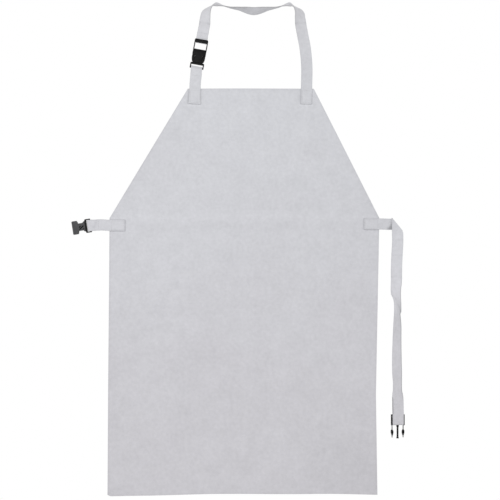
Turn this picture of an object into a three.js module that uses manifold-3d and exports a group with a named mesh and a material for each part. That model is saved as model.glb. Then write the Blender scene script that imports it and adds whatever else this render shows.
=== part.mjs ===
// Leather welding apron: one cut of split leather with straps sewn on its front and two side-release buckles.
// Millimetres, +Z up. The front looks along -Y, and +X is to the right when facing it.
// The origin is at the back of the neck loop, on its inner face, where the apron hangs on the neck.
// Everything is laid out from the middle of the bib's top edge, and the group is then set on the origin.
import * as THREE from 'three';
import { mergeVertices } from 'three/addons/utils/BufferGeometryUtils.js';
import Module from 'manifold-3d';

const wasm = await Module();
wasm.setup();

// Leather
const PANEL_THICKNESS = 1.6;
const STRAP_THICKNESS = 1.8;
const STRAP_WIDTH = 25;
const GAP = 0.3;
const WELD_DISTANCE = 1e-4;
const SEWN_OFFSET = PANEL_THICKNESS / 2 + GAP + STRAP_THICKNESS / 2;
const LAYER_PITCH = STRAP_THICKNESS + GAP;

// Panel cut: the left and right edges at each level below the bib's top edge
const PANEL_EDGES = [
  { z: 0, left: -139.6, right: 140 },
  { z: -287, left: -315, right: 287 },
  { z: -680, left: -318, right: 279 },
  { z: -900, left: -319, right: 282 },
];
const PANEL_ROWS_PER_LEVEL = [12, 16, 10];
const PANEL_COLUMNS = 28;
const WAIST_Z = PANEL_EDGES[1].z;
const SKIRT_Z = PANEL_EDGES[2].z;
const HEM_Z = PANEL_EDGES[3].z;
// The hem is cut a little hollow: where it is highest, by how much, and its bend
const HEM_HOLLOW = { x: 20, rise: 2.2, bend: 7.8e-5 };

// How the panel hangs: its sides fall back, its hem comes forward, and soft folds grow towards the hem
const SKIRT_CENTRE_X = -16;
const SKIRT_HALF_WIDTH = 300;
const SIDE_FALL = 20;
const HEM_KICK = -6;
const SOFT_FOLDS = [
  { x: -205, depth: -3.5, reach: 60 },
  { x: -70, depth: 3, reach: 75 },
  { x: 70, depth: -3, reach: 65 },
  { x: 185, depth: 3.5, reach: 60 },
];
// Packing creases: a level or upright line, how deep it is, how wide, and the stretch where it shows
const CREASES = [
  { run: 'upright', at: -24, depth: 1.4, reach: 16, from: -860, to: -60 },
  { run: 'level', at: -292, depth: -1.2, reach: 15, from: -190, to: 160 },
  { run: 'level', at: -495, depth: 1.2, reach: 15, from: -270, to: -40 },
];
const CREASE_FADE = 60;

// Side-release buckle for a 25 mm strap. Its own Z runs from the female half to the male half,
// with zero at the mouth of the female half, and its front looks along its own -Y.
// A bar also says how far the strap's loop hangs slack past it, how far the strap's layers stay parted,
// and how far along the strap they close and the tail behind it ends.
const BUCKLE_DEPTH = 9;
const FRAME_DEPTH = 5;
const CAVITY = { width: 26, depth: 6, end: -27.2 };
const GUIDE_POCKET = { half: 2.8, depth: 3.8, end: -30 };
const FEMALE_OUTLINE = [
  { x: 14, z: 0 },
  { x: 15, z: -1.5 },
  { x: 15, z: -10.5 },
  { x: 14, z: -11.5 },
  { x: 8.4, z: -13 },
  { x: 8.4, z: -24 },
  { x: 11, z: -26.5 },
  { x: 11.8, z: -28.8 },
];
const FRAME_OUTLINE = [
  { x: 11, z: -28.5 },
  { x: 14.4, z: -29.2 },
  { x: 15.4, z: -30.5 },
  { x: 15.4, z: -41 },
  { x: 14.8, z: -41.8 },
  { x: 13, z: -41.8 },
  { x: 13, z: -32.6 },
];
const BAR_RADIUS = 1.5;
const BAR_SIDES = 12;
const BAR_LENGTH = 27;
const FEMALE_BAR = { y: 0, z: -40.1, slack: 0, parts: 4, closes: 12, tail: 26 };
const SLACK_BAR = { ...FEMALE_BAR, slack: 2.9 };
const VENTS = [
  { x: 0.5, z: -17.2, length: 4.6 },
  { x: -1.8, z: -20.6, length: 12.6 },
  { x: -5.3, z: -25.4, length: 2.6 },
];
const VENT_WIDTH = 2.4;
const VENT_TURN = -35;

const SHOULDER_HALF = 14.6;
const RAIL = { inner: 13, outer: 15 };
const GUIDE = { half: 1.8, depth: 3.4, endHalf: 2.4, knob: 2.8, rootEnd: -4 };
const ARM_DEPTH = 4;
// The right sprung arm of each male half: broad heads that fill the neck buckle, slim ones on the tie
const NECK_ARM = [
  { x: 11, z: 0.6 },
  { x: 12.6, z: 0.6 },
  { x: 12.5, z: -12.4 },
  { x: 14.7, z: -12.6 },
  { x: 14.8, z: -14 },
  { x: 14.8, z: -19 },
  { x: 13.8, z: -24 },
  { x: 12.7, z: -26.6 },
  { x: 8.2, z: -26.6 },
  { x: 8.2, z: -15.5 },
  { x: 10.4, z: -13.5 },
];
const TIE_ARM = [
  { x: 12, z: 0.6 },
  { x: 13.2, z: 0.6 },
  { x: 13.3, z: -9 },
  { x: 15.2, z: -11.8 },
  { x: 15.2, z: -16.4 },
  { x: 14, z: -20.6 },
  { x: 13.2, z: -23.4 },
  { x: 13, z: -27.4 },
  { x: 12, z: -27.4 },
  { x: 11.8, z: -23.4 },
  { x: 10.6, z: -20.6 },
  { x: 9.7, z: -16.4 },
  { x: 9.7, z: -12.6 },
  { x: 11.9, z: -9 },
];
// Each male half's plug: the front, back and top of its shoulder, the tip of its guide, and its arm
const NECK_PLUG = { front: -3.8, back: 3.8, top: 1.9, tip: -26, arm: NECK_ARM };
const TIE_PLUG = { front: -1.2, back: 3.4, top: 1.3, tip: -29.4, arm: TIE_ARM };
// The neck buckle's male half: an open window between the shoulder and a lip with the strap bar behind it
const LIP = { low: 17, high: 25, front: -4.6, back: -2.1, chamfer: 1.6 };
const NECK_BAR = { y: 2.6, z: 21, slack: 0, parts: 4, closes: 12, tail: 26 };
// The tie's male half: a strap bar that stands in front of the shoulder, and a plain end bar
const TIE_BAR = { y: -4.2, z: 4.6, slack: 0, parts: 6, closes: 14, tail: 50 };
const END_BAR = { low: 21.4, high: 24.4, depth: 2.8 };

// Where the buckles hang: the mouth of the female half, the way from the female half to the male half,
// and the turn about that way, in degrees
const NECK_BUCKLE = { mouth: [-113.5, 13.7, 86], axis: [0.172, 0.139, 0.975], turn: 0 };
const WAIST_BUCKLE = { mouth: [-398, 25.5, -309.5], axis: [-0.984, 0.08, -0.158], turn: 0 };
const TIE_BUCKLE = { mouth: [328.2, 25.2, -749.6], axis: [0, 0, 1], turn: 6 };

// Length of strap sewn on the panel, and the fineness of sewn ends, folds, tails and curves
const SEWN_LENGTH = 34;
const SEWN_STEPS = 3;
const LOOP_STEPS = 8;
const TAIL_STEPS = 8;
const SMOOTH_STEPS = 4;

// Neck strap from the lip of the buckle to the right corner of the bib: the middle of the strap, and the
// way from its outer to its inner edge as a turn about Z and a tilt out of the level, in degrees
const NECK_ROUTE = [
  { x: -107.8, y: 18.5, z: 121, turn: 0, tilt: -11 },
  { x: -103.5, y: 23, z: 144, turn: -4, tilt: -11 },
  { x: -102, y: 28.5, z: 161, turn: -27, tilt: -12 },
  { x: -99.9, y: 36, z: 176, turn: -43, tilt: -10 },
  { x: -95.6, y: 42.5, z: 184.4, turn: -59, tilt: -8 },
  { x: -86, y: 50, z: 193, turn: -86, tilt: -12 },
  { x: -76.3, y: 60, z: 197.6, turn: -84, tilt: -23 },
  { x: -61.4, y: 74, z: 197, turn: -75, tilt: -15 },
  { x: -50.9, y: 84, z: 195.8, turn: -70, tilt: -10 },
  { x: -24, y: 104, z: 195.4, turn: -75, tilt: 6 },
  { x: 7, y: 116, z: 192, turn: -90, tilt: 33 },
  { x: 38, y: 104, z: 195.4, turn: -105, tilt: 6 },
  { x: 62.2, y: 84, z: 195.8, turn: -110, tilt: -10 },
  { x: 71.5, y: 74, z: 197, turn: -105, tilt: -15 },
  { x: 86.5, y: 60, z: 197.5, turn: -96, tilt: -23 },
  { x: 95.7, y: 50, z: 192.2, turn: -94, tilt: -12 },
  { x: 106, y: 42.5, z: 183, turn: -126, tilt: -7 },
  { x: 109.6, y: 36, z: 174, turn: -140, tilt: -8 },
  { x: 110.5, y: 28.5, z: 161, turn: -152, tilt: -11 },
  { x: 112, y: 22, z: 144, turn: -176, tilt: -10 },
  { x: 116.5, y: 15, z: 117, turn: -180, tilt: -8 },
  { x: 121.2, y: 10, z: 90, turn: -180, tilt: -5 },
  { x: 124.5, y: 6, z: 50, turn: -180, tilt: 0 },
];
const NECK_SEWN = { x: 124, endX: 122.8, top: 8 };
const LOWER_SEWN = { x: -123.5, top: 8 };
const NECK_REST = { x: 7, y: 115.5, z: 191.2 };

// Waist strap and tie: the level where they are sewn, and how far in from the panel's edge they end
const WAIST_SEWN = { z: -303, end: -280, edge: -318 };
const WAIST_MIDDLE = { x: -334, z: -302 };
const TIE_SEWN = { z: -300, end: 252, edge: 289 };

// The tie's mitre fold: where its crease crosses the middle of the strap, the crease's slope in degrees,
// the radius of the fold, and where the level stretch is as far back as the fold
const MITRE = { x: 325, y: 20.4, z: -300.6, slope: 51, radius: 1.1, start: 309 };
// The hanging stretch of the tie, by levels: its middle, and its way across as for the neck strap
const TIE_ROUTE = [
  { x: 327.9, y: 19, z: -340, turn: 0, tilt: 0 },
  { x: 326.5, y: 18.7, z: -366, turn: 0, tilt: 0 },
  { x: 325.3, y: 18.5, z: -392, turn: -8, tilt: 0 },
  { x: 324.7, y: 18, z: -428, turn: -24, tilt: 0 },
  { x: 323.5, y: 17.5, z: -450, turn: -36, tilt: 0 },
  { x: 325, y: 17, z: -474, turn: -44, tilt: -42 },
  { x: 326.6, y: 17, z: -504, turn: -60, tilt: 0 },
  { x: 326.6, y: 17, z: -530, turn: -53, tilt: 0 },
  { x: 326, y: 17.2, z: -565, turn: -48, tilt: 0 },
  { x: 325.7, y: 17.5, z: -600, turn: -42, tilt: 0 },
  { x: 326.2, y: 17.8, z: -630, turn: -40, tilt: 0 },
  { x: 327, y: 18, z: -656, turn: -48, tilt: 0 },
  { x: 327.1, y: 18, z: -670, turn: -46, tilt: 0 },
  { x: 327.7, y: 18, z: -684, turn: -24, tilt: 0 },
  { x: 328.3, y: 18, z: -696, turn: -6, tilt: 0 },
  { x: 328.6, y: 18, z: -710, turn: 3, tilt: 0 },
  { x: 329, y: 18, z: -724, turn: 6, tilt: 0 },
];

// Materials, from the photo's colours
const LEATHER = { color: 0xcfcfd3, roughness: 0.95, metalness: 0 };
const BLACK_PLASTIC = { color: 0x232323, roughness: 0.5, metalness: 0 };
const GREY_PLASTIC = { color: 0x454545, roughness: 0.55, metalness: 0 };

const vector = (x, y, z) => new THREE.Vector3(x, y, z);
const radians = THREE.MathUtils.degToRad;
const UP = vector(0, 0, 1);
const RIGHTWARD = vector(1, 0, 0);
const FORWARD = vector(0, -1, 0);

// The panel's surface

function edgesAt(z) {
  const below = PANEL_EDGES.findIndex((level, i) => i > 0 && z >= level.z - WELD_DISTANCE);
  const low = PANEL_EDGES[below];
  const high = PANEL_EDGES[below - 1];
  const share = (high.z - z) / (high.z - low.z);
  return {
    left: THREE.MathUtils.lerp(high.left, low.left, share),
    right: THREE.MathUtils.lerp(high.right, low.right, share),
  };
}

// 1 at the middle of a fold, falling smoothly to 0
const bell = (distance, reach) => Math.exp(-((distance / reach) ** 2));

function creaseDepth(crease, x, z) {
  const [across, along] = crease.run === 'upright' ? [x, z] : [z, x];
  const fade = THREE.MathUtils.smoothstep(along, crease.from, crease.from + CREASE_FADE)
    * (1 - THREE.MathUtils.smoothstep(along, crease.to - CREASE_FADE, crease.to));
  return crease.depth * bell(across - crease.at, crease.reach) * fade;
}

// Depth of the panel's middle surface
function panelY(x, z) {
  const drop = THREE.MathUtils.clamp((WAIST_Z - z) / (WAIST_Z - HEM_Z), 0, 1);
  const folds = SOFT_FOLDS.reduce((sum, f) => sum + f.depth * bell(x - f.x, f.reach), 0);
  const creases = CREASES.reduce((sum, c) => sum + creaseDepth(c, x, z), 0);
  const fall = SIDE_FALL * ((x - SKIRT_CENTRE_X) / SKIRT_HALF_WIDTH) ** 2;
  return fall + drop * drop * (HEM_KICK + folds) + creases;
}

// How far a place near the hem lies below its level
function hemDrop(x, z) {
  const share = THREE.MathUtils.clamp((SKIRT_Z - z) / (SKIRT_Z - HEM_Z), 0, 1);
  return share * (HEM_HOLLOW.bend * (x - HEM_HOLLOW.x) ** 2 - HEM_HOLLOW.rise);
}

function panelGeometry() {
  const levels = [PANEL_EDGES[0].z];
  PANEL_ROWS_PER_LEVEL.forEach((rows, i) => {
    const high = PANEL_EDGES[i].z;
    const low = PANEL_EDGES[i + 1].z;
    for (let row = 1; row <= rows; row += 1) levels.push(high + (low - high) * row / rows);
  });
  const columns = PANEL_COLUMNS + 1;
  const positions = [];
  for (const side of [-1, 1]) {
    for (const z of levels) {
      const edge = edgesAt(z);
      for (let column = 0; column < columns; column += 1) {
        const x = THREE.MathUtils.lerp(edge.left, edge.right, column / PANEL_COLUMNS);
        positions.push(x, panelY(x, z) + side * PANEL_THICKNESS / 2, z - hemDrop(x, z));
      }
    }
  }
  const back = levels.length * columns;
  const at = (row, column) => row * columns + column;
  const index = [];
  const quad = (a, b, c, d) => index.push(a, b, c, a, c, d);
  for (let row = 0; row + 1 < levels.length; row += 1) {
    for (let column = 0; column < PANEL_COLUMNS; column += 1) {
      const corners = [at(row, column), at(row + 1, column), at(row + 1, column + 1), at(row, column + 1)];
      quad(...corners);
      quad(...corners.map((corner) => corner + back).reverse());
    }
    quad(at(row, 0), at(row, 0) + back, at(row + 1, 0) + back, at(row + 1, 0));
    const last = PANEL_COLUMNS;
    quad(at(row + 1, last), at(row + 1, last) + back, at(row, last) + back, at(row, last));
  }
  const hem = levels.length - 1;
  for (let column = 0; column < PANEL_COLUMNS; column += 1) {
    quad(at(0, column + 1), at(0, column + 1) + back, at(0, column) + back, at(0, column));
    quad(at(hem, column), at(hem, column) + back, at(hem, column + 1) + back, at(hem, column + 1));
  }
  return indexedGeometry(positions, index);
}

function indexedGeometry(positions, index) {
  const geometry = new THREE.BufferGeometry();
  geometry.setAttribute('position', new THREE.Float32BufferAttribute(positions, 3));
  geometry.setIndex(index);
  geometry.computeVertexNormals();
  return geometry;
}

// Straps

// A strap is a row of sections, each with the middle of the strap and the way across it
const section = (centre, across) => ({ centre, across });

function routeSection({ x, y, z, turn, tilt }) {
  const across = RIGHTWARD.clone()
    .applyAxisAngle(FORWARD, radians(tilt))
    .applyAxisAngle(UP, radians(turn));
  return section(vector(x, y, z), across);
}

// Adds even steps between sections, along smooth curves
function smoothed(sections) {
  const centres = new THREE.CatmullRomCurve3(sections.map((s) => s.centre));
  const acrosses = new THREE.CatmullRomCurve3(sections.map((s) => s.across));
  const steps = (sections.length - 1) * SMOOTH_STEPS;
  return Array.from({ length: steps + 1 }, (_, i) => (
    section(centres.getPoint(i / steps), acrosses.getPoint(i / steps).normalize())
  ));
}

// A closed strap of constant width and thickness through its sections. Its back is split along the same
// diagonals as its front, so that it keeps its thickness where it twists.
function strapGeometry(sections) {
  const positions = [];
  const index = [];
  const quad = (a, b, c, d) => index.push(a, b, c, a, c, d);
  sections.forEach(({ centre, across }, i) => {
    const before = sections[Math.max(i - 1, 0)].centre;
    const after = sections[Math.min(i + 1, sections.length - 1)].centre;
    const along = after.clone().sub(before).normalize();
    const normal = across.clone().cross(along);
    const half = across.clone().multiplyScalar(STRAP_WIDTH / 2 / normal.length());
    const lift = normal.normalize().multiplyScalar(STRAP_THICKNESS / 2);
    for (const [side, face] of [[-1, -1], [1, -1], [1, 1], [-1, 1]]) {
      const corner = centre.clone().addScaledVector(half, side).addScaledVector(lift, face);
      positions.push(corner.x, corner.y, corner.z);
    }
  });
  const corners = 4;
  const backFace = 2;
  for (let i = 0; i + 1 < sections.length; i += 1) {
    for (let c = 0; c < corners; c += 1) {
      const d = (c + 1) % corners;
      const ring = [i * corners + d, i * corners + c, (i + 1) * corners + c, (i + 1) * corners + d];
      if (c === backFace) ring.push(ring.shift());
      quad(...ring);
    }
  }
  const end = (sections.length - 1) * corners;
  quad(0, 1, 2, 3);
  quad(end + 3, end + 2, end + 1, end);
  return indexedGeometry(positions, index);
}

// Sections of a strap laid on the front of the panel, from one point of it to another
function sewnSections(from, to, across) {
  return Array.from({ length: SEWN_STEPS + 1 }, (_, i) => {
    const x = THREE.MathUtils.lerp(from.x, to.x, i / SEWN_STEPS);
    const z = THREE.MathUtils.lerp(from.z, to.z, i / SEWN_STEPS);
    const slope = panelY(x + 1, z) - panelY(x, z);
    const way = across.clone().add(vector(0, slope * across.x, 0)).normalize();
    return section(vector(x, panelY(x, z) - SEWN_OFFSET, z), way);
  });
}

// Sections of a strap round a bar, from its front to where the layers part behind it.
// run is the way that the strap takes from the bar.
function barLoop(frame, bar, run) {
  const back = vector(0, 1, 0).transformDirection(frame);
  const across = vector(1, 0, 0).transformDirection(frame);
  const middle = vector(0, bar.y, bar.z).applyMatrix4(frame);
  const radius = BAR_RADIUS + GAP + STRAP_THICKNESS / 2;
  const straight = run.clone().addScaledVector(across, -across.dot(run)).normalize();
  const at = (depth, distance) => (
    section(middle.clone().addScaledVector(back, depth).addScaledVector(straight, distance), across)
  );
  const round = Array.from({ length: LOOP_STEPS + 1 }, (_, step) => {
    const angle = Math.PI * step / LOOP_STEPS;
    return at(-radius * Math.cos(angle), -bar.slack - radius * Math.sin(angle));
  });
  return [...round, at(radius, bar.parts)];
}

// The section of a strap at a distance along it
function sectionAt(sections, distance) {
  let rest = distance;
  for (let i = 0; i + 1 < sections.length; i += 1) {
    const [start, end] = [sections[i], sections[i + 1]];
    const span = start.centre.distanceTo(end.centre);
    if (rest <= span) {
      const share = rest / span;
      const across = start.across.clone().lerp(end.across, share).normalize();
      return section(start.centre.clone().lerp(end.centre, share), across);
    }
    rest -= span;
  }
  return sections.at(-1);
}

// The tail of a strap, which lies behind the strap's own front layer. The layer starts at the bar.
function tailBehind(layer, bar, frame) {
  const back = vector(0, 1, 0).transformDirection(frame);
  return Array.from({ length: TAIL_STEPS + 1 }, (_, step) => {
    const distance = THREE.MathUtils.lerp(bar.closes, bar.tail, step / TAIL_STEPS);
    const { centre, across } = sectionAt(layer, distance);
    const along = sectionAt(layer, distance + STRAP_THICKNESS).centre.sub(centre);
    const normal = along.cross(across).normalize();
    const pitch = Math.sign(normal.dot(back)) * (LAYER_PITCH + GAP);
    return section(centre.addScaledVector(normal, pitch), across);
  });
}

// Buckles

function toSolid(geometry) {
  const bare = geometry.clone();
  bare.deleteAttribute('normal');
  bare.deleteAttribute('uv');
  const merged = mergeVertices(bare, WELD_DISTANCE);
  const mesh = new wasm.Mesh({
    numProp: 3,
    vertProperties: new Float32Array(merged.attributes.position.array),
    triVerts: new Uint32Array(merged.index.array),
  });
  return new wasm.Manifold(mesh);
}

function toGeometry(solid) {
  const mesh = solid.getMesh();
  return indexedGeometry(Array.from(mesh.vertProperties), Array.from(mesh.triVerts));
}

const joined = (solids) => solids.reduce((whole, solid) => whole.add(solid));

function block(x, y, z) {
  const geometry = new THREE.BoxGeometry(x[1] - x[0], y[1] - y[0], z[1] - z[0]);
  geometry.translate((x[0] + x[1]) / 2, (y[0] + y[1]) / 2, (z[0] + z[1]) / 2);
  return toSolid(geometry);
}

// A flat piece with the given front outline, between two depths
function plate(outline, front, back) {
  const shape = new THREE.Shape(outline.map((p) => new THREE.Vector2(p.x, p.z)));
  const geometry = new THREE.ExtrudeGeometry(shape, { depth: back - front, bevelEnabled: false });
  geometry.rotateX(Math.PI / 2);
  geometry.translate(0, back, 0);
  return toSolid(geometry);
}

const mirrored = (outline) => outline.map((p) => ({ x: -p.x, z: p.z }));
const wholeOutline = (half) => [...half, ...mirrored(half).reverse()];

function strapBar(bar) {
  const geometry = new THREE.CylinderGeometry(BAR_RADIUS, BAR_RADIUS, BAR_LENGTH, BAR_SIDES);
  geometry.rotateZ(Math.PI / 2);
  geometry.translate(0, bar.y, bar.z);
  return toSolid(geometry);
}

function femaleHalf(vents) {
  const body = plate(wholeOutline(FEMALE_OUTLINE), -BUCKLE_DEPTH / 2, BUCKLE_DEPTH / 2);
  const frame = plate(wholeOutline(FRAME_OUTLINE), -FRAME_DEPTH / 2, FRAME_DEPTH / 2);
  const half = CAVITY.width / 2;
  const cavity = block([-half, half], [-CAVITY.depth / 2, CAVITY.depth / 2], [CAVITY.end, GAP]);
  const pocket = block(
    [-GUIDE_POCKET.half, GUIDE_POCKET.half],
    [-GUIDE_POCKET.depth / 2, GUIDE_POCKET.depth / 2],
    [GUIDE_POCKET.end, GAP],
  );
  const whole = joined([body, frame, strapBar(FEMALE_BAR)]).subtract(cavity).subtract(pocket);
  return vents.reduce((solid, vent) => {
    const slot = new THREE.BoxGeometry(VENT_WIDTH, BUCKLE_DEPTH / 2, vent.length);
    slot.rotateY(radians(VENT_TURN));
    slot.translate(vent.x, -BUCKLE_DEPTH / 2, vent.z);
    return solid.subtract(toSolid(slot));
  }, whole);
}

// The shoulder, guide and sprung arms that every male half has
function plug({ front, back, top, tip, arm }) {
  const shoulder = block([-SHOULDER_HALF, SHOULDER_HALF], [front, back], [GAP, top]);
  const depth = [-GUIDE.depth / 2, GUIDE.depth / 2];
  const guide = block([-GUIDE.half, GUIDE.half], depth, [tip, top]);
  const knob = block([-GUIDE.endHalf, GUIDE.endHalf], depth, [tip, tip + GUIDE.knob]);
  const root = block([-GUIDE.endHalf, GUIDE.endHalf], depth, [GUIDE.rootEnd, top]);
  const arms = [arm, mirrored(arm)].map((outline) => plate(outline, -ARM_DEPTH / 2, ARM_DEPTH / 2));
  return joined([shoulder, guide, knob, root, ...arms]);
}

function rails(depth, high) {
  return [-1, 1].map((side) => {
    const x = side < 0 ? [-RAIL.outer, -RAIL.inner] : [RAIL.inner, RAIL.outer];
    return block(x, depth, [GAP, high]);
  });
}

function neckMaleHalf() {
  const lipHalf = [
    { x: RAIL.outer - LIP.chamfer, z: LIP.high },
    { x: RAIL.outer, z: LIP.high - LIP.chamfer },
    { x: RAIL.outer, z: LIP.low },
  ];
  const lip = plate(wholeOutline(lipHalf), LIP.front, LIP.back);
  const sides = rails([LIP.front, NECK_BAR.y + BAR_RADIUS], LIP.high - LIP.chamfer);
  return joined([plug(NECK_PLUG), ...sides, lip, strapBar(NECK_BAR)]);
}

function tieMaleHalf() {
  const [front, back] = [-END_BAR.depth / 2, END_BAR.depth / 2];
  const endBar = block([-RAIL.outer, RAIL.outer], [front, back], [END_BAR.low, END_BAR.high]);
  const sides = rails([TIE_BAR.y - BAR_RADIUS, back], END_BAR.high);
  return joined([plug(TIE_PLUG), ...sides, endBar, strapBar(TIE_BAR)]);
}

// A buckle's own axes in the apron: its Z along the buckle and its Y towards the back
function buckleFrame({ mouth, axis, turn }) {
  const along = vector(...axis).normalize();
  const across = vector(0, 1, 0).cross(along).normalize().applyAxisAngle(along, radians(turn));
  const back = along.clone().cross(across);
  return new THREE.Matrix4().makeBasis(across, back, along).setPosition(vector(...mouth));
}

// The straps' whole runs

const neckFrame = buckleFrame(NECK_BUCKLE);
const waistFrame = buckleFrame(WAIST_BUCKLE);
const tieFrame = buckleFrame(TIE_BUCKLE);

function lowerNeckStrap() {
  const sewn = sewnSections(
    { x: LOWER_SEWN.x, z: -SEWN_LENGTH },
    { x: LOWER_SEWN.x, z: LOWER_SEWN.top },
    RIGHTWARD,
  );
  const bar = vector(0, FEMALE_BAR.y, FEMALE_BAR.z).applyMatrix4(neckFrame);
  const [arrival, ...round] = barLoop(neckFrame, FEMALE_BAR, sewn.at(-1).centre.clone().sub(bar));
  const front = [...sewn, ...smoothed([sewn.at(-1), arrival]).slice(1)];
  return [...front, ...round, ...tailBehind(front.toReversed(), FEMALE_BAR, neckFrame)];
}

function neckStrap() {
  const [departure, ...round] = barLoop(neckFrame, NECK_BAR, vector(...NECK_BUCKLE.axis));
  const sewn = sewnSections(
    { x: NECK_SEWN.x, z: NECK_SEWN.top },
    { x: NECK_SEWN.endX, z: -SEWN_LENGTH },
    RIGHTWARD.clone().negate(),
  );
  const free = smoothed([departure, ...NECK_ROUTE.map(routeSection), sewn[0]]);
  const tail = tailBehind(free, NECK_BAR, neckFrame);
  return [...tail.reverse(), ...round.reverse(), ...free, ...sewn.slice(1)];
}

function waistStrap() {
  const sewn = sewnSections(
    { x: WAIST_SEWN.end, z: WAIST_SEWN.z },
    { x: WAIST_SEWN.edge, z: WAIST_SEWN.z },
    UP,
  );
  const bar = vector(0, SLACK_BAR.y, SLACK_BAR.z).applyMatrix4(waistFrame);
  const run = vector(WAIST_MIDDLE.x - bar.x, 0, WAIST_MIDDLE.z - bar.z);
  const [arrival, ...round] = barLoop(waistFrame, SLACK_BAR, run);
  const middleY = (sewn.at(-1).centre.y + arrival.centre.y) / 2;
  const middle = section(vector(WAIST_MIDDLE.x, middleY, WAIST_MIDDLE.z), UP);
  const front = [...sewn, ...smoothed([sewn.at(-1), middle, arrival]).slice(1)];
  return [...front, ...round, ...tailBehind(front.toReversed(), SLACK_BAR, waistFrame)];
}

// Sections parallel to the crease, round a half turn that brings the strap forward and down
function mitreSections() {
  const slope = radians(MITRE.slope);
  const crease = vector(Math.cos(slope), 0, -Math.sin(slope));
  const outward = vector(Math.sin(slope), 0, Math.cos(slope));
  return Array.from({ length: LOOP_STEPS + 1 }, (_, step) => {
    const angle = Math.PI * step / LOOP_STEPS;
    const centre = vector(MITRE.x, MITRE.y + MITRE.radius * Math.cos(angle), MITRE.z)
      .addScaledVector(crease, MITRE.radius * angle)
      .addScaledVector(outward, MITRE.radius * Math.sin(angle));
    return section(centre, crease);
  });
}

function waistTie() {
  const sewn = sewnSections(
    { x: TIE_SEWN.end, z: TIE_SEWN.z },
    { x: TIE_SEWN.edge, z: TIE_SEWN.z },
    UP.clone().negate(),
  );
  const mitre = mitreSections();
  const start = section(vector(MITRE.start, mitre[0].centre.y, MITRE.z), UP.clone().negate());
  const level = smoothed([sewn.at(-1), start, mitre[0]]);
  const [arrival, ...round] = barLoop(tieFrame, TIE_BAR, UP);
  const hanging = smoothed([mitre.at(-1), ...TIE_ROUTE.map(routeSection), arrival]);
  const tail = tailBehind(hanging.toReversed(), TIE_BAR, tieFrame);
  return [...sewn, ...level.slice(1), ...mitre.slice(1, -1), ...hanging, ...round, ...tail];
}

// The apron

function piece(name, geometry, look) {
  const mesh = new THREE.Mesh(geometry, new THREE.MeshStandardMaterial(look));
  mesh.name = name;
  return mesh;
}

function buckleGroup(frame, ...halves) {
  const group = new THREE.Group();
  group.applyMatrix4(frame);
  group.add(...halves);
  return group;
}

const apron = new THREE.Group();
apron.position.set(-NECK_REST.x, -NECK_REST.y, -NECK_REST.z);
apron.add(
  piece('apron_panel', panelGeometry(), LEATHER),
  piece('neck_strap_lower', strapGeometry(lowerNeckStrap()), LEATHER),
  piece('neck_strap', strapGeometry(neckStrap()), LEATHER),
  piece('waist_strap', strapGeometry(waistStrap()), LEATHER),
  piece('waist_tie', strapGeometry(waistTie()), LEATHER),
  buckleGroup(
    neckFrame,
    piece('neck_buckle_female', toGeometry(femaleHalf([])), BLACK_PLASTIC),
    piece('neck_buckle_male', toGeometry(neckMaleHalf()), BLACK_PLASTIC),
  ),
  buckleGroup(waistFrame, piece('waist_buckle_female', toGeometry(femaleHalf(VENTS)), GREY_PLASTIC)),
  buckleGroup(tieFrame, piece('waist_buckle_male', toGeometry(tieMaleHalf()), GREY_PLASTIC)),
);

export default new THREE.Group().add(apron);
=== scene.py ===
from math import ceil, cos, exp, pi, radians, sin, sqrt

import bmesh
import bpy
from mathutils import Matrix, Vector, noise
from mathutils.bvhtree import BVHTree
from mathutils.geometry import interpolate_bezier


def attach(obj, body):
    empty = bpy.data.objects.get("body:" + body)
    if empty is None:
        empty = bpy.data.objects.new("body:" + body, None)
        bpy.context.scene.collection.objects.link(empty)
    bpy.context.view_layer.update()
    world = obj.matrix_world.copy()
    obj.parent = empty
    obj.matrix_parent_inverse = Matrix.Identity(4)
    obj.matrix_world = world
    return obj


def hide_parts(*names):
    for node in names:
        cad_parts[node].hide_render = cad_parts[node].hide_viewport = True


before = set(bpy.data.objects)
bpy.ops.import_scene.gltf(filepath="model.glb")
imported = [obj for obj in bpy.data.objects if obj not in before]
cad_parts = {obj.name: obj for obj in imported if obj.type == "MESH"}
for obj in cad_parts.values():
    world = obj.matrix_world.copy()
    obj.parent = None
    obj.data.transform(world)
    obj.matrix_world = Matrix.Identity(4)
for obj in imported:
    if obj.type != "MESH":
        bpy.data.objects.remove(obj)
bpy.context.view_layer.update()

# Leather welding apron: a suede panel, straps sewn on its front, and two side-release buckles.
# Lengths are in millimetres from the middle of the bib's top edge, as in the part's source, and
# BIB_TOP moves them to the origin at the back of the neck loop. +Z is up, and the front looks
# along -Y. Angles are in degrees.
MM = 0.001
BIB_TOP = Vector((-7.0, -115.5, -191.2))

PANEL_THICKNESS = 1.6
PANEL_EDGE_ROUND = 0.25
STRAP_THICKNESS = 1.8
STRAP_EDGE_ROUND = 0.3
STRAP_WIDTH = 25.0
GAP = 0.3
SEWN_OFFSET = PANEL_THICKNESS / 2 + GAP + STRAP_THICKNESS / 2
LAYER_PITCH = STRAP_THICKNESS + GAP
CUT_ANGLE = 50

RIGHTWARD = Vector((1, 0, 0))
BACKWARD = Vector((0, 1, 0))
UP = Vector((0, 0, 1))

# Panel cut: level, left edge and right edge
PANEL_EDGES = ((0, -139.6, 140), (-287, -315, 287), (-680, -318, 279), (-900, -319, 282))
WAIST_Z, SKIRT_Z, HEM_Z = (level for level, _, _ in PANEL_EDGES[1:])
# The hem is cut a little hollow: where it is highest, by how much, and its bend
HEM_HOLLOW = {"x": 20, "rise": 2.2, "bend": 7.8e-5}
LEVEL_SLACK = 1e-4
# The lower left corner is cut off a little
HEM_CORNER = {"lift": 3.0, "width": 4, "height": 6}
# The darkened border: its width on the panel, and the share of a strap's half width where it starts
PANEL_BORDER = 6
STRAP_BORDER = 0.7
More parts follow.
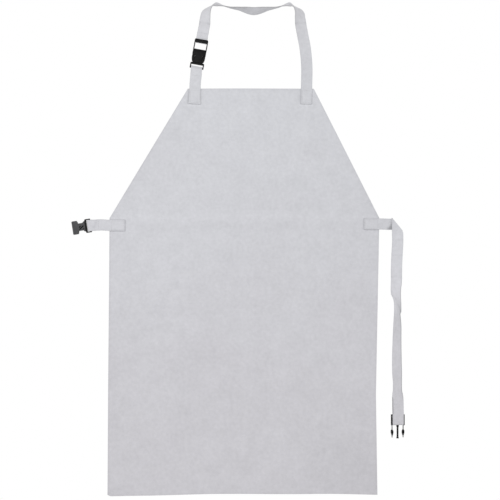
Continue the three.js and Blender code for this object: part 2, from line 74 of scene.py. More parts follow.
# Columns of points by share of the width, and rows by level, closer together round the sewn ends
PANEL_COLUMNS = ((0, 0.0), (46, 0.17), (126, 0.83), (172, 1.0))
PANEL_ROWS = ((0, 0), (20, -40), (80, -281), (83, -287), (100, -321), (190, -680), (245, -900))

# How the panel hangs
SKIRT_CENTRE_X = -16
SKIRT_HALF_WIDTH = 300
SIDE_FALL = 20
HEM_KICK = -6
SOFT_FOLDS = ((-205, -3.5, 60), (-70, 3, 75), (70, -3, 65), (185, 3.5, 60))
CREASE_FADE = 60
# Packing creases: upright or level, where, depth, reach, and the stretch where each shows
CREASES = (
    ("upright", -24, 1.4, 16, -860, -60),
    ("level", -292, -1.2, 15, -190, 160),
    ("level", -495, 1.2, 15, -270, -40),
)
# Slow waves of the hide: length and height
PANEL_WAVES = ((95, 0.7), (38, 0.25))
STRAP_WAVES = ((30, 0.3), (13, 0.1))

# Where the straps are sewn on, and the patches of the panel that they cover: left, right, low, high
SEWN_LENGTH = 34
SEWN_TOP = 8
LOWER_SEWN_X = -123.5
NECK_SEWN_X = 124
NECK_SEWN_END_X = 122.8
WAIST_SEWN = {"z": -303, "end": -280, "edge": -318}
TIE_SEWN = {"z": -300, "end": 252, "edge": 289}
WAIST_MIDDLE = (-334, -302)
SEWN_PATCHES = (
    (-140, -109, -37, 10), (110, 138, -37, 10),
    (-320, -277, -318, -288), (249, 292, -315, -285),
)
# The end on the bib's left corner is cut wider at its lower outer corner, and slants
FLARE = {"start": -4, "full": 30, "widening": 3.0, "slant": 1.0}
# The slow waves come up between these distances from a sewn patch and from a buckle's mouth
SEAM_CALM = (2, 25)
BUCKLE_CALM = (50, 80)

# Routes of the free straps: the middle of the strap, then the turn and the tilt of its way across
NECK_ROUTE = (
    (-107.8, 18.5, 121, 0, -11), (-103.5, 23, 144, -4, -11), (-102, 28.5, 161, -27, -12),
    (-99.9, 36, 176, -43, -10), (-95.6, 42.5, 184.4, -59, -8), (-86, 50, 193, -86, -12),
    (-76.3, 60, 197.6, -84, -23), (-61.4, 74, 197, -75, -15), (-50.9, 84, 195.8, -70, -10),
    (-24, 104, 195.4, -75, 6), (7, 116, 192, -90, 33), (38, 104, 195.4, -105, 6),
    (62.2, 84, 195.8, -110, -10), (71.5, 74, 197, -105, -15), (86.5, 60, 197.5, -96, -23),
    (95.7, 50, 192.2, -94, -12), (106, 42.5, 183, -126, -7), (109.6, 36, 174, -140, -8),
    (110.5, 28.5, 161, -152, -11), (112, 22, 144, -176, -10), (116.5, 15, 117, -180, -8),
    (121.2, 10, 90, -180, -5), (124.5, 6, 50, -180, 0),
)
TIE_ROUTE = (
    (327.9, 19, -340, 0, 0), (326.5, 18.7, -366, 0, 0), (325.3, 18.5, -392, -8, 0),
    (324.7, 18, -428, -24, 0), (323.5, 17.5, -450, -36, 0), (325, 17, -475, -48, -50),
    (326.4, 17, -484, -62, -48), (326.6, 17, -508, -62, 0), (326.6, 17, -530, -53, 0),
    (326, 17.2, -565, -48, 0), (325.7, 17.5, -600, -42, 0), (326.2, 17.8, -630, -40, 0),
    (327, 18, -656, -48, 0), (327.1, 18, -670, -46, 0), (327.7, 18, -684, -24, 0),
    (328.3, 18, -696, -6, 0), (328.6, 18, -710, 3, 0), (329, 18, -724, 6, 0),
)
MITRE = {"x": 325, "y": 20.4, "z": -300.6, "slope": 51, "radius": 1.1, "start": 309}

# Buckles: the mouth of the receiving half, the way to the plug, and the turn about that way
NECK_BUCKLE = ((-113.5, 13.7, 86), (0.172, 0.139, 0.975), 0)
WAIST_BUCKLE = ((-398, 25.5, -309.5), (-0.984, 0.08, -0.158), 0)
TIE_BUCKLE = ((328.2, 25.2, -749.6), (0, 0, 1), 6)
# Strap bars: their place, the slack of the loop, and how far on its layers part, close and end
BAR_RADIUS = 1.5
FEMALE_BAR = {"y": 0, "z": -40.1, "slack": 0, "parts": 4, "closes": 12, "tail": 26}
SLACK_BAR = {**FEMALE_BAR, "slack": 2.9}
NECK_BAR = {"y": 2.6, "z": 21, "slack": 0, "parts": 4, "closes": 12, "tail": 26}
TIE_BAR = {"y": -4.2, "z": 4.6, "slack": 0, "parts": 6, "closes": 14, "tail": 50}
# Parts of a buckle this near its middle plane, from front to back, are low and get painted shade
SOCKET_SHADED_DEPTH = 3.2
PLUG_SHADED_DEPTH = 9
BUCKLE_ROUND = 0.35
BUCKLE_CORNER = 35
BUCKLE_FLAT = 0.5
WELD_METRES = 2e-6

# Wrinkles and painted light and shade: two ends of a line on the front, its reach, its depth and its
# darkness. A positive darkness darkens the colour, mostly as painted shade: contact shadows round
# the sewn ends, shade in creases and folds, the shadow at the mitre and between layers. A negative
# darkness paints light
MARK_FADE = 3
PANEL_MARKS = (
    (-138.5, -3, -140, -33, 1.6, 0, 0.1), (-138, -36, -112, -37.5, 2.5, 0, -0.09),
    (138, -3, 138, -33, 2.5, 0, -0.03), (110, -36, 136, -36, 2.5, 0, -0.09),
    (138, -33, 138, -35, 2.5, 0, 0.1),
    (-310, -288, -280, -288, 2.5, 0, -0.05), (-310, -318, -280, -318, 2.5, 0, -0.03),
    (252, -285.5, 282, -285.5, 2.5, 0, -0.06), (252, -315, 282, -315, 2.5, 0, -0.03),
    (-280, -284, 270, -284, 9, 0, -0.015), (-270, -306, 245, -306, 10, 0, 0.012),
    (-24, -195, -24, -340, 7, 0, 0.015), (-132, -600, -134, -768, 26, 0, 0.02),
    (-215, -796, -110, -856, 10, 0, -0.015), (-290, -497, -60, -497, 7, 0, 0.012),
    (190, -830, 280, -860, 60, 0, 0.05),
)
LOWER_NECK_MARKS = (
    (-118, -24, -117, -33, 2, 0.2, 0.05), (-137, -2, -138.8, -30, 1.1, 0, 0.25),
    (-111, -4, -111, -30, 1.1, 0, 0.1), (-130, 48.5, -108.5, 44.5, 1.6, 0.3, 0.16),
)
NECK_MARKS = (
    (-117, 151, -93, 147, 2.6, 0.5, 0.05), (-117, 151, -115, 150.5, 3.5, 0, 0.08),
    (-95, 147.5, -93, 147, 3.5, 0, 0.08), (101, 147, 127, 151, 2.6, 0.5, 0.05),
    (101, 147, 103, 147.5, 3.5, 0, 0.08), (125, 150.5, 127, 151, 3.5, 0, 0.08),
    (-87, 195.4, -76, 195.8, 2.2, 0, 0.25), (88.5, 195.6, 95.5, 194, 2.2, 0, 0.25),
    (-48, 195.5, -38, 194, 5, 0, 0.1), (54, 194, 64, 195.5, 5, 0, 0.1),
    (111.7, -2, 111.7, -33, 1.1, 0, 0.1), (106, 160, 123.5, 5, 16, 0, 0.05),
    (-36, 193, 50, 193, 11, 0, -0.07),
)
WAIST_MARKS = (
    (-350, -307, -346, -298, 3, 0.4, 0.1), (-280, -315, -280, -291, 1.1, 0, 0.14),
    (-314, -315.2, -281, -315.2, 1.1, 0, 0.05),
)
TIE_MARKS = (
    (323, -465, 333.5, -494, 1.6, 0.4, 0.15), (334, -494, 334.5, -496, 2.4, 0, 0.28),
    (331.5, -470, 334.5, -488, 3, 0, 0.05), (322.5, -470, 325.5, -498, 2.8, 0, -0.12),
    (327, -325, 325, -455, 22, 0, -0.045), (315.8, -688, 316.2, -722, 1.6, 0, 0.6),
    (315, -335, 342, -336.5, 1.8, 0.2, 0.05), (315, -369, 341, -370, 1.8, 0.2, 0.05),
    (314, -418, 339, -419.5, 1.8, 0.2, 0.05), (314.5, -294, 315, -310, 1.2, 0, 0.1),
)
TIE_UNDER_MARKS = (
    (309, -310, 314, -304, 3.2, 0.3, 0.3), (312, -311, 314.5, -309, 2.5, 0, 0.2),
    (314, -295, 314, -312, 1.8, 0, 0.14), (304, -312, 310, -309, 2.5, 0, 0.1),
    (252.3, -311, 252.3, -288, 1.1, 0, 0.2), (253, -312.3, 286, -312.3, 1.1, 0, 0.06),
)

# A stitch is a small flat ball, half sunk into the leather, placed by a ray from well outside
STITCH = {"length": 3.0, "width": 0.9, "height": 0.7, "pitch": 4.0, "sides": 6, "rings": 5}
RAY_START = 400

# Rows and columns of points on the straps, and the least distance of two rows at the edge of a turn
STRAP_PITCH = 2.0
FEWEST_STEPS = 4
LOOP_STEPS = 14
TAIL_STEPS = 16
SEWN_STEPS = 20
STRAP_COLUMNS = 20
LEAST_STEP = 0.5

# The suede's colour, and the painted shade that darkens it towards the hem, change between these
# heights, in metres
SUEDE_HEIGHTS = (-1.10, 0.01)

# Studio, in metres: the camera stands three metres in front of the bib
CAMERA_PLACE = (-0.00866, -3.1155, -0.54925)
CAMERA_LENS = 97.43
CAMERA_SENSOR = 36
ROOM_LIGHT = 0.68
LIGHT_AIM = Vector((0, -0.1, -0.55))
LIGHT_SIZE = 2.0
KEY_LIGHT = {"place": Vector((-0.6, -2.7, 0.7)), "power": 31}
BACK_LIGHT = {"place": Vector((1.4, 2.6, 0.7)), "power": 22}
FLOOR_Z = -1.35
FLOOR_REACH = 1.2
WHITE = (1, 1, 1, 1)


def clamp(value):
    return min(max(value, 0.0), 1.0)


def smoothstep(value, low, high):
    share = clamp((value - low) / (high - low))
    return share * share * (3 - 2 * share)


def bell(distance, reach):
    return exp(-((distance / reach) ** 2))


def stepped(index, stops):
    for (first, low), (last, high) in zip(stops, stops[1:]):
        if index <= last:
            return low + (high - low) * (index - first) / (last - first)


def waves(point, lengths):
    return sum(height * noise.noise(point / length) for length, height in lengths)


def to_frame(point):
    return (point + BIB_TOP) * MM


def marks_at(marks, x, z):
    depth, dark = 0.0, 0.0
    for start_x, start_z, end_x, end_z, reach, mark_depth, mark_dark in marks:
        start = Vector((start_x, start_z))
        way = Vector((end_x, end_z)) - start
        offset = Vector((x, z)) - start
        distance = (offset - way * clamp(offset.dot(way) / way.length_squared)).length
        if distance < MARK_FADE * reach:
            depth += mark_depth * bell(distance, reach)
            dark += mark_dark * bell(distance, reach)
    return depth, dark


# Panel surface

def panel_edges(z):
    for (high, *high_edges), (low, *low_edges) in zip(PANEL_EDGES, PANEL_EDGES[1:]):
        if z >= low - LEVEL_SLACK:
            share = (high - z) / (high - low)
            return [start + (end - start) * share for start, end in zip(high_edges, low_edges)]
    return PANEL_EDGES[-1][1:]


def crease_depth(crease, x, z):
    run, at, depth, reach, start, end = crease
    across, along = (x, z) if run == "upright" else (z, x)
    come = smoothstep(along, start, start + CREASE_FADE)
    go = smoothstep(along, end - CREASE_FADE, end)
    return depth * bell(across - at, reach) * come * (1 - go)


def panel_y(x, z):
    drop = clamp((WAIST_Z - z) / (WAIST_Z - HEM_Z))
    folds = sum(depth * bell(x - at, reach) for at, depth, reach in SOFT_FOLDS)
    creases = sum(crease_depth(crease, x, z) for crease in CREASES)
    fall = SIDE_FALL * ((x - SKIRT_CENTRE_X) / SKIRT_HALF_WIDTH) ** 2
    return fall + drop * drop * (HEM_KICK + folds) + creases


def hem_drop(x, z):
    share = clamp((SKIRT_Z - z) / (SKIRT_Z - HEM_Z))
    return share * (HEM_HOLLOW["bend"] * (x - HEM_HOLLOW["x"]) ** 2 - HEM_HOLLOW["rise"])


def clear_of_seams(x, z):
    clear = 1.0
    for left, right, low, high in SEWN_PATCHES:
        outside = Vector((max(left - x, 0, x - right), max(low - z, 0, z - high))).length
        clear = min(clear, smoothstep(outside, *SEAM_CALM))
    return clear


# Pieces

def new_piece(name, bm, *finishes):
    mesh = bpy.data.meshes.new(name)
    for face in bm.faces:
        face.smooth = True
    bm.to_mesh(mesh)
    bm.free()
    for material in finishes:
        mesh.materials.append(material)
    piece = bpy.data.objects.new(name, mesh)
    bpy.context.scene.collection.objects.link(piece)
    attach(piece, "root")
    return piece


def give_thickness(piece, thickness, edge_round):
    solid = piece.modifiers.new("thickness", "SOLIDIFY")
    solid.thickness = thickness * MM
    solid.offset = 0
    solid.use_even_offset = True
    solid.use_quality_normals = True
    solid.material_offset_rim = 1
    bevel = piece.modifiers.new("cut_edge", "BEVEL")
    bevel.width = edge_round * MM
    bevel.segments = 2
    bevel.profile = 0.5
    bevel.limit_method = "ANGLE"
    bevel.angle_limit = radians(CUT_ANGLE)
    bevel.harden_normals = True


def panel_piece():
    rows, columns = PANEL_ROWS[-1][0], PANEL_COLUMNS[-1][0]
    bm = bmesh.new()
    bmesh.ops.create_grid(bm, x_segments=columns, y_segments=rows, size=1)
    border = bm.verts.layers.float.new("border")
    painted_light_and_shade = bm.verts.layers.float.new("painted_light_and_shade")
    for vert in bm.verts:
        z = stepped(round((1 - vert.co.y) / 2 * rows), PANEL_ROWS)
        left, right = panel_edges(z)
        x = left + (right - left) * stepped(round((1 + vert.co.x) / 2 * columns), PANEL_COLUMNS)
        # the marks paint shade and light into the panel's colour
        depth, vert[painted_light_and_shade] = marks_at(PANEL_MARKS, x, z)
        vert[border] = 1 - smoothstep(min(x - left, right - x, -z, z - HEM_Z), 0, PANEL_BORDER)
        swell = clear_of_seams(x, z) * waves(Vector((x, 0, z)), PANEL_WAVES)
        corner = bell(x - left, HEM_CORNER["width"]) * bell(z - HEM_Z, HEM_CORNER["height"])
        lift = HEM_CORNER["lift"] * corner - hem_drop(x, z)
        vert.co = to_frame(Vector((x, panel_y(x, z) + depth + swell, z + lift)))
    piece = new_piece("suede_panel", bm, suede, cut_edge)
    give_thickness(piece, PANEL_THICKNESS, PANEL_EDGE_ROUND)
    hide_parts("apron_panel")
    return piece


# Straps: each is a row of sections, a section being the middle of the strap and the way across it

def spline(points, steps):
    ends = [points[0] * 2 - points[1], *points, points[-1] * 2 - points[-2]]
    line = [points[0]]
    for before, start, end, after, count in zip(ends, ends[1:], ends[2:], ends[3:], steps):
        span = sqrt((end - start).length) or 1.0
        lead = sqrt((start - before).length) or span
        trail = sqrt((after - end).length) or span
        leave = (start - before) / lead - (end - before) / (lead + span) + (end - start) / span
        arrive = (end - start) / span - (after - start) / (span + trail) + (after - end) / trail
        pull = span / 3
        handles = start + leave * pull, end - arrive * pull
        line += interpolate_bezier(start, *handles, end, count + 1)[1:]
    return line


def smoothed(sections):
    middles = [centre for centre, _ in sections]
    spans = [(end - start).length for start, end in zip(middles, middles[1:])]
    steps = [max(FEWEST_STEPS, ceil(span / STRAP_PITCH)) for span in spans]
    centres = spline(middles, steps)
    ways = spline([across for _, across in sections], steps)
    return [(centre, across.normalized()) for centre, across in zip(centres, ways)]


def along_strap(sections, row):
    before, after = max(row - 1, 0), min(row + 1, len(sections) - 1)
    return (sections[after][0] - sections[before][0]).normalized()


# In a tight turn, sections that would stand too close at the inner edge are left out
def thinned(sections):
    kept, edges = [], ()
    for row, (centre, across) in enumerate(sections):
        along = along_strap(sections, row)
        half = across * (STRAP_WIDTH / 2 / across.cross(along).length)
        ends = (centre - half, centre + half)
        if all((end - edge).dot(along) > LEAST_STEP for end, edge in zip(ends, edges)):
            kept.append((centre, across))
            edges = ends
    return kept


def route_section(x, y, z, turn, tilt):
    tilted = Matrix.Rotation(radians(tilt), 3, -BACKWARD) @ RIGHTWARD
    return Vector((x, y, z)), Matrix.Rotation(radians(turn), 3, "Z") @ tilted


def sewn_sections(start, end, across):
    sections = []
    for step in range(SEWN_STEPS + 1):
        x, z = Vector(start).lerp(Vector(end), step / SEWN_STEPS)
        slope = panel_y(x + 1, z) - panel_y(x, z)
        way = (across + Vector((0, slope * across.x, 0))).normalized()
        sections.append((Vector((x, panel_y(x, z) - SEWN_OFFSET, z)), way))
    return sections


def buckle_axes(mouth, axis, turn):
    along = Vector(axis).normalized()
    across = Matrix.Rotation(radians(turn), 3, along) @ BACKWARD.cross(along).normalized()
    axes = Matrix((across, along.cross(across), along)).transposed()
    return Matrix.Translation(mouth) @ axes.to_4x4()


def bar_middle(axes, bar):
    return axes @ Vector((0, bar["y"], bar["z"]))


def bar_loop(axes, bar, run):
    across, back = axes.col[0].to_3d(), axes.col[1].to_3d()
    middle = bar_middle(axes, bar)
    radius = BAR_RADIUS + GAP + STRAP_THICKNESS / 2
    straight = (run - across * across.dot(run)).normalized()
    loop = []
    for step in range(LOOP_STEPS + 1):
        angle = pi * step / LOOP_STEPS
        reach = bar["slack"] + radius * sin(angle)
        loop.append((middle - back * radius * cos(angle) - straight * reach, across))
    return loop + [(middle + back * radius + straight * bar["parts"], across)]


def section_at(sections, distance):
    for (start, start_across), (end, end_across) in zip(sections, sections[1:]):
        span = (end - start).length
        if distance <= span:
            share = distance / span
            return start.lerp(end, share), start_across.lerp(end_across, share).normalized()
        distance -= span
    return sections[-1]


# The tail of a strap lies behind the strap's own front layer, which starts at the bar
def tail_behind(layer, bar, axes):
    back = axes.col[1].to_3d()
    tail = []
    for step in range(TAIL_STEPS + 1):
        distance = bar["closes"] + (bar["tail"] - bar["closes"]) * step / TAIL_STEPS
        centre, across = section_at(layer, distance)
        ahead, _ = section_at(layer, distance + STRAP_THICKNESS)
        normal = (ahead - centre).cross(across).normalized()
        if normal.dot(back) < 0:
            normal.negate()
        tail.append((centre + normal * (LAYER_PITCH + GAP), across))
    return tail


def lower_neck_sections():
    axes = buckle_axes(*NECK_BUCKLE)
    sewn = sewn_sections((LOWER_SEWN_X, -SEWN_LENGTH), (LOWER_SEWN_X, SEWN_TOP), RIGHTWARD)
    arrival, *round_bar = bar_loop(axes, FEMALE_BAR, sewn[-1][0] - bar_middle(axes, FEMALE_BAR))
    front = sewn + smoothed([sewn[-1], arrival])[1:]
    return front + round_bar + tail_behind(front[::-1], FEMALE_BAR, axes)


def neck_sections():
    axes = buckle_axes(*NECK_BUCKLE)
    departure, *round_bar = bar_loop(axes, NECK_BAR, Vector(NECK_BUCKLE[1]))
    sewn = sewn_sections((NECK_SEWN_X, SEWN_TOP), (NECK_SEWN_END_X, -SEWN_LENGTH), -RIGHTWARD)
    free = smoothed([departure, *(route_section(*row) for row in NECK_ROUTE), sewn[0]])
    tail = tail_behind(free, NECK_BAR, axes)
    return tail[::-1] + round_bar[::-1] + free + sewn[1:]


def waist_sections():
    axes = buckle_axes(*WAIST_BUCKLE)
    level = WAIST_SEWN["z"]
    sewn = sewn_sections((WAIST_SEWN["end"], level), (WAIST_SEWN["edge"], level), UP)
    middle_x, middle_z = WAIST_MIDDLE
    bar = bar_middle(axes, SLACK_BAR)
    arrival, *round_bar = bar_loop(axes, SLACK_BAR, Vector((middle_x - bar.x, 0, middle_z - bar.z)))
    middle_y = (sewn[-1][0].y + arrival[0].y) / 2
    middle = (Vector((middle_x, middle_y, middle_z)), UP)
    front = sewn + smoothed([sewn[-1], middle, arrival])[1:]
    return front + round_bar + tail_behind(front[::-1], SLACK_BAR, axes)


def mitre_sections():
    slope, radius = radians(MITRE["slope"]), MITRE["radius"]
    crease = Vector((cos(slope), 0, -sin(slope)))
    outward = Vector((sin(slope), 0, cos(slope)))
    sections = []
    for step in range(LOOP_STEPS + 1):
        angle = pi * step / LOOP_STEPS
        fold = Vector((MITRE["x"], MITRE["y"] + radius * cos(angle), MITRE["z"]))
        sections.append((fold + crease * radius * angle + outward * radius * sin(angle), crease))
    return sections


def tie_sections():
    axes = buckle_axes(*TIE_BUCKLE)
    sewn = sewn_sections((TIE_SEWN["end"], TIE_SEWN["z"]), (TIE_SEWN["edge"], TIE_SEWN["z"]), -UP)
    mitre = mitre_sections()
    start = (Vector((MITRE["start"], mitre[0][0].y, MITRE["z"])), -UP)
    level = smoothed([sewn[-1], start, mitre[0]])
    arrival, *round_bar = bar_loop(axes, TIE_BAR, UP)
    hanging = smoothed([mitre[-1], *(route_section(*row) for row in TIE_ROUTE), arrival])
    tail = tail_behind(hanging[::-1], TIE_BAR, axes)
    level = thinned(level[::-1])[::-1]
    return sewn + level[1:] + mitre[1:-1] + thinned(hanging) + round_bar + tail


def clear_of_buckles(point):
    mouths = [Vector(mouth) for mouth, _, _ in (NECK_BUCKLE, WAIST_BUCKLE, TIE_BUCKLE)]
    return smoothstep(min((point - mouth).length for mouth in mouths), *BUCKLE_CALM)


def flared_end(point, share):
    end = smoothstep(-point.z, FLARE["start"], FLARE["full"])
    point.x += FLARE["widening"] * min(share, 0) * end
    point.z -= FLARE["slant"] * share * end


# The tie's level stretch goes behind its fold, and has marks of its own, which paint the fold's
# shadow on it
def strap_piece(name, node, sections, marks, under_marks=(), trim=None):
    bm = bmesh.new()
    rows = len(sections) - 1
    bmesh.ops.create_grid(bm, x_segments=STRAP_COLUMNS, y_segments=rows, size=1)
    border = bm.verts.layers.float.new("border")
    painted_light_and_shade = bm.verts.layers.float.new("painted_light_and_shade")
    for vert in bm.verts:
        row, share = round((vert.co.y + 1) / 2 * rows), vert.co.x
        centre, across = sections[row]
        along = along_strap(sections, row)
        normal = across.cross(along)
        point = centre + across * (STRAP_WIDTH / 2 / normal.length) * share
        if trim:
            trim(point, share)
        behind = abs(along.x) > abs(along.z) or centre.y > MITRE["y"] - MITRE["radius"] / 2
        own_marks = under_marks if under_marks and behind else marks
        # the marks paint shade and light into the strap's colour
        depth, vert[painted_light_and_shade] = marks_at(own_marks, point.x, point.z)
        free = clear_of_seams(point.x, point.z) * clear_of_buckles(centre)
        point += normal.normalized() * free * waves(point, STRAP_WAVES) + BACKWARD * depth
        vert[border] = smoothstep(abs(share), STRAP_BORDER, 1)
        vert.co = to_frame(point)
    piece = new_piece(name, bm, suede, cut_edge)
    give_thickness(piece, STRAP_THICKNESS, STRAP_EDGE_ROUND)
    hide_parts(node)
    return piece


# Sewing

def surface_of(piece):
    return BVHTree.FromObject(piece, bpy.context.evaluated_depsgraph_get())


def stitches_on(bm, surface, corners, side):
    size = Vector((STITCH["width"], STITCH["height"], STITCH["length"])) * MM / 2
    for (start_x, start_z), (end_x, end_z) in zip(corners, corners[1:]):
        start, end = Vector((start_x, 0, start_z)), Vector((end_x, 0, end_z))
        count = max(1, round((end - start).length / STITCH["pitch"]))
        for step in range(count):
            middle = start.lerp(end, (step + 0.5) / count)
            spot = to_frame(middle + BACKWARD * RAY_START * side)
            place, normal, _, _ = surface.ray_cast(spot, -BACKWARD * side)
            way = (end - start).normalized()
            way = (way - normal * way.dot(normal)).normalized()
            turn = Matrix((normal.cross(way), normal, way)).transposed()
            bmesh.ops.create_uvsphere(
                bm, u_segments=STITCH["sides"], v_segments=STITCH["rings"], radius=1,
                matrix=Matrix.LocRotScale(place, turn, size),
            )


def seam_piece(name, front, back, corners):
    bm = bmesh.new()
    stitches_on(bm, surface_of(front), corners, -1)
    stitches_on(bm, surface_of(back), corners, 1)
    return new_piece(name, bm, thread)


def box_seam(left, right, low, high):
    return ((left, low), (left, high), (right, high), (right, low), (left, low))


# Buckles

def buckle_piece(name, node, plastic, buckle, shaded_depth=0.0):
    to_buckle = buckle_axes(*buckle).inverted()
    bm = bmesh.new()
    bm.from_mesh(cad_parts[node].data)
    painted_shade_mask = bm.verts.layers.float.new("painted_shade_mask")
    bmesh.ops.remove_doubles(bm, verts=bm.verts, dist=WELD_METRES)
    bmesh.ops.dissolve_limit(bm, angle_limit=radians(BUCKLE_FLAT), verts=bm.verts, edges=bm.edges)
    for vert in bm.verts:
        depth = (to_buckle @ (vert.co / MM - BIB_TOP)).y
        # low parts are marked for painted shade
        vert[painted_shade_mask] = 1.0 if abs(depth) < shaded_depth else 0.0
    corners = [edge for edge in bm.edges if edge.calc_face_angle(0) > radians(BUCKLE_CORNER)]
    bmesh.ops.bevel(
        bm, geom=corners, offset=BUCKLE_ROUND * MM, offset_type="OFFSET", segments=2, profile=0.5,
        affect="EDGES", material=-1, clamp_overlap=True,
    )
    bmesh.ops.triangulate(bm, faces=bm.faces)
    piece = new_piece(name, bm, plastic)
    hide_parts(node)
    return piece


# Finishes

def finish(name, **constants):
    material = bpy.data.materials.new(name)
    material.use_nodes = True
    shader = material.node_tree.nodes["Principled BSDF"]
    for socket, value in constants.items():
        shader.inputs[socket.replace("_", " ")].default_value = value
    return material


def add(material, kind, **settings):
    node = material.node_tree.nodes.new(kind)
    for key, value in settings.items():
        if key in node.inputs:
            node.inputs[key].default_value = value
        else:
            setattr(node, key, value)
    return node


def link(material, start, end):
    material.node_tree.links.new(start, end)


def to_shader(material, start, socket):
    link(material, start, material.node_tree.nodes["Principled BSDF"].inputs[socket])


def attribute(material, name):
    return add(material, "ShaderNodeAttribute", attribute_name=name).outputs["Fac"]


def grain(material, place, scale, detail):
    node = add(material, "ShaderNodeTexNoise", Scale=scale, Detail=detail)
    link(material, place, node.inputs["Vector"])
    return node.outputs["Fac"]


def weighed(material, base, *terms):
    total = base
    for source, weight in terms:
        node = add(material, "ShaderNodeMath", operation="MULTIPLY_ADD")
        node.inputs[1].default_value = weight
        link(material, source, node.inputs[0])
        if total is base:
            node.inputs[2].default_value = base
        else:
            link(material, total, node.inputs[2])
        total = node.outputs["Value"]
    return total


def ramp(material, source, *stops):
    node = add(material, "ShaderNodeValToRGB")
    link(material, source, node.inputs["Fac"])
    elements = node.color_ramp.elements
    elements[0].position, elements[0].color = stops[0]
    elements[1].position, elements[1].color = stops[-1]
    for position, colour in stops[1:-1]:
        elements.new(position).color = colour
    return node.outputs["Color"]


def toned(material, colour, tone):
    node = add(material, "ShaderNodeVectorMath", operation="SCALE")
    link(material, colour, node.inputs[0])
    link(material, tone, node.inputs["Scale"])
    to_shader(material, node.outputs["Vector"], "Base Color")


def bumped(material, height, strength, distance):
    node = add(material, "ShaderNodeBump", Strength=strength, Distance=distance)
    link(material, height, node.inputs["Height"])
    to_shader(material, node.outputs["Normal"], "Normal")


# Split leather: cool at the bib and warmer towards the hem, with painted shade making it darker
# towards the hem, mottled, with a nap
def suede_finish():
    material = finish("suede", Specular_IOR_Level=0.15, Sheen_Weight=0.15, Sheen_Roughness=0.6)
    place = add(material, "ShaderNodeTexCoord").outputs["Object"]
    clouds = grain(material, place, 6, 2)
    blotches = grain(material, place, 26, 4)
    flecks = grain(material, place, 130, 3)
    nap = grain(material, place, 850, 2)
    split = add(material, "ShaderNodeSeparateXYZ")
    link(material, place, split.inputs["Vector"])
    height = add(material, "ShaderNodeMapRange", clamp=False)
    height.inputs["From Min"].default_value, height.inputs["From Max"].default_value = SUEDE_HEIGHTS
    link(material, split.outputs["Z"], height.inputs["Value"])
    level = weighed(material, -0.15, (height.outputs["Result"], 1.0), (clouds, 0.3))
    # the ramp by height holds the hide's cool-to-warm change and painted shade that darkens it
    # towards the hem
    colour = ramp(
        material, level,
        (0.0, (0.612, 0.602, 0.634, 1)),
        (0.25, (0.620, 0.613, 0.646, 1)),
        (0.5, (0.632, 0.633, 0.666, 1)),
        (0.8, (0.630, 0.636, 0.668, 1)),
        (1.0, (0.624, 0.624, 0.652, 1)),
    )
    # the marks' darkness darkens or lightens the colour as painted shade and painted light
    tone = weighed(
        material, 0.733,
        (clouds, 0.05), (blotches, 0.14), (flecks, 0.2), (nap, 0.16),
        (attribute(material, "border"), -0.05), (attribute(material, "painted_light_and_shade"), -1.0),
    )
    toned(material, colour, tone)
    to_shader(material, weighed(material, 0.85, (blotches, 0.2)), "Roughness")
    bumped(material, weighed(material, 0.0, (nap, 0.7), (flecks, 0.6)), 0.35, 0.0004)
    return material


# The cut through the hide: darker, with loose fibres
def cut_edge_finish():
    material = finish("cut_edge", Specular_IOR_Level=0.1)
    place = add(material, "ShaderNodeTexCoord").outputs["Object"]
    fibres = grain(material, place, 1500, 3)
    colour = ramp(material, fibres, (0.3, (0.36, 0.355, 0.365, 1)), (0.7, (0.5, 0.495, 0.51, 1)))
    to_shader(material, colour, "Base Color")
    to_shader(material, weighed(material, 0.85, (fibres, 0.2)), "Roughness")
    bumped(material, fibres, 0.6, 0.0004)
    return material


# Moulded plastic: a fine mould grain, with a painted reflection making raised faces paler and
# painted shade making low parts darker
def plastic_finish(name, raised, low, gloss):
    material = finish(name, Specular_IOR_Level=gloss)
    place = add(material, "ShaderNodeTexCoord").outputs["Object"]
    mould = grain(material, place, 2600, 2)
    scuffs = grain(material, place, 180, 4)
    # the colour runs from the painted reflection on raised faces to the painted shade in low parts
    colour = ramp(material, attribute(material, "painted_shade_mask"), (0.0, raised), (1.0, low))
    toned(material, colour, weighed(material, 0.6, (scuffs, 0.6), (mould, 0.2)))
    to_shader(material, weighed(material, 0.3, (scuffs, 0.35)), "Roughness")
    bumped(material, mould, 0.25, 0.0001)
    return material


def thread_finish():
    material = finish("thread", Specular_IOR_Level=0.3)
    place = add(material, "ShaderNodeTexCoord").outputs["Object"]
    twist = grain(material, place, 2200, 1)
    colour = ramp(material, twist, (0.3, (0.50, 0.50, 0.52, 1)), (0.7, (0.66, 0.66, 0.69, 1)))
    to_shader(material, colour, "Base Color")
    to_shader(material, weighed(material, 0.55, (twist, 0.3)), "Roughness")
    bumped(material, twist, 0.5, 0.0002)
    return material


suede = suede_finish()
cut_edge = cut_edge_finish()
thread = thread_finish()
black_plastic = plastic_finish(
    "black_plastic", raised=(0.0045, 0.0045, 0.005, 1), low=(0.003, 0.003, 0.003, 1), gloss=0.12,
)
# the grey on its raised faces is a painted reflection, and its low parts get painted shade
grey_plastic = plastic_finish(
    "grey_plastic", raised=(0.074, 0.074, 0.077, 1), low=(0.005, 0.005, 0.005, 1), gloss=0.2,
)

panel = panel_piece()
lower_neck = strap_piece(
    "neck_strap_short", "neck_strap_lower", lower_neck_sections(), LOWER_NECK_MARKS, trim=flared_end,
)
neck = strap_piece("neck_strap_long", "neck_strap", neck_sections(), NECK_MARKS)
waist = strap_piece("waist_strap_short", "waist_strap", waist_sections(), WAIST_MARKS)
tie = strap_piece("waist_tie_long", "waist_tie", tie_sections(), TIE_MARKS, TIE_UNDER_MARKS)

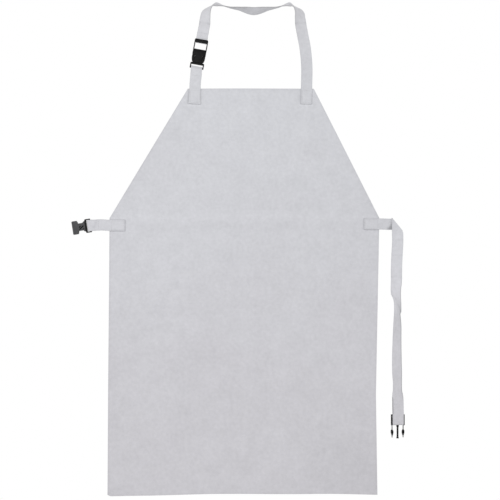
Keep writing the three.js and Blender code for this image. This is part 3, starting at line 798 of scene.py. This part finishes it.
# Boxes of sewing on the sewn ends, and rows across the loops at the buckles
seam_piece("bib_left_sewing", lower_neck, panel, box_seam(-134, -114, -31, -4))
seam_piece("bib_right_sewing", neck, panel, box_seam(114.5, 133.5, -31, -4))
seam_piece("waist_left_sewing", waist, panel, box_seam(-311, -283, -312.5, -293.5))
seam_piece("waist_right_sewing", tie, panel, box_seam(255, 283, -309.5, -290.5))
seam_piece("neck_low_loop_sewing", lower_neck, lower_neck, ((-131.8, 30.4), (-111.8, 28.4)))
seam_piece("neck_loop_sewing", neck, neck, ((-116.2, 127.7), (-96.8, 124.3)))
seam_piece("waist_loop_sewing", waist, waist, ((-339.5, -312), (-339.5, -292)))
seam_piece("tie_loop_sewing", tie, tie, ((319, -702), (339, -702)))

buckle_piece("neck_socket", "neck_buckle_female", black_plastic, NECK_BUCKLE)
buckle_piece("neck_plug", "neck_buckle_male", black_plastic, NECK_BUCKLE)
buckle_piece(
    "waist_socket", "waist_buckle_female", grey_plastic, WAIST_BUCKLE, SOCKET_SHADED_DEPTH,
)
buckle_piece("tie_plug", "waist_buckle_male", grey_plastic, TIE_BUCKLE, PLUG_SHADED_DEPTH)


# Studio

def soft_light(name, place, power):
    data = bpy.data.lights.new(name, "AREA")
    data.shape = "SQUARE"
    data.size = LIGHT_SIZE
    data.energy = power
    light = bpy.data.objects.new(name, data)
    light.location = place
    light.rotation_euler = (LIGHT_AIM - place).to_track_quat("-Z", "Y").to_euler()
    bpy.context.scene.collection.objects.link(light)


def studio():
    scene = bpy.context.scene
    scene.view_settings.view_transform = "Standard"
    camera = bpy.data.objects.new("camera", bpy.data.cameras.new("camera"))
    camera.data.lens = CAMERA_LENS
    camera.data.sensor_width = CAMERA_SENSOR
    camera.location = CAMERA_PLACE
    camera.rotation_euler = (radians(90), 0, 0)
    scene.collection.objects.link(camera)
    scene.camera = camera

    world = bpy.data.worlds.new("studio")
    world.use_nodes = True
    scene.world = world
    nodes, links = world.node_tree.nodes, world.node_tree.links
    backdrop = nodes["Background"]
    backdrop.inputs["Color"].default_value = WHITE
    around = nodes.new("ShaderNodeBackground")
    around.inputs["Color"].default_value = WHITE
    around.inputs["Strength"].default_value = ROOM_LIGHT
    rays = nodes.new("ShaderNodeLightPath")
    mix = nodes.new("ShaderNodeMixShader")
    links.new(rays.outputs["Is Camera Ray"], mix.inputs["Fac"])
    links.new(around.outputs["Background"], mix.inputs[1])
    links.new(backdrop.outputs["Background"], mix.inputs[2])
    links.new(mix.outputs["Shader"], nodes["World Output"].inputs["Surface"])

    soft_light("key", **KEY_LIGHT)
    soft_light("back_fill", **BACK_LIGHT)

    bm = bmesh.new()
    level = Matrix.Translation((0, 0, FLOOR_Z))
    bmesh.ops.create_grid(bm, x_segments=1, y_segments=1, size=FLOOR_REACH, matrix=level)
    mesh = bpy.data.meshes.new("floor")
    bm.to_mesh(mesh)
    bm.free()
    floor_white = finish("floor_white", Base_Color=(0.82, 0.82, 0.82, 1), Roughness=0.9)
    mesh.materials.append(floor_white)
    floor = bpy.data.objects.new("floor", mesh)
    scene.collection.objects.link(floor)


studio()
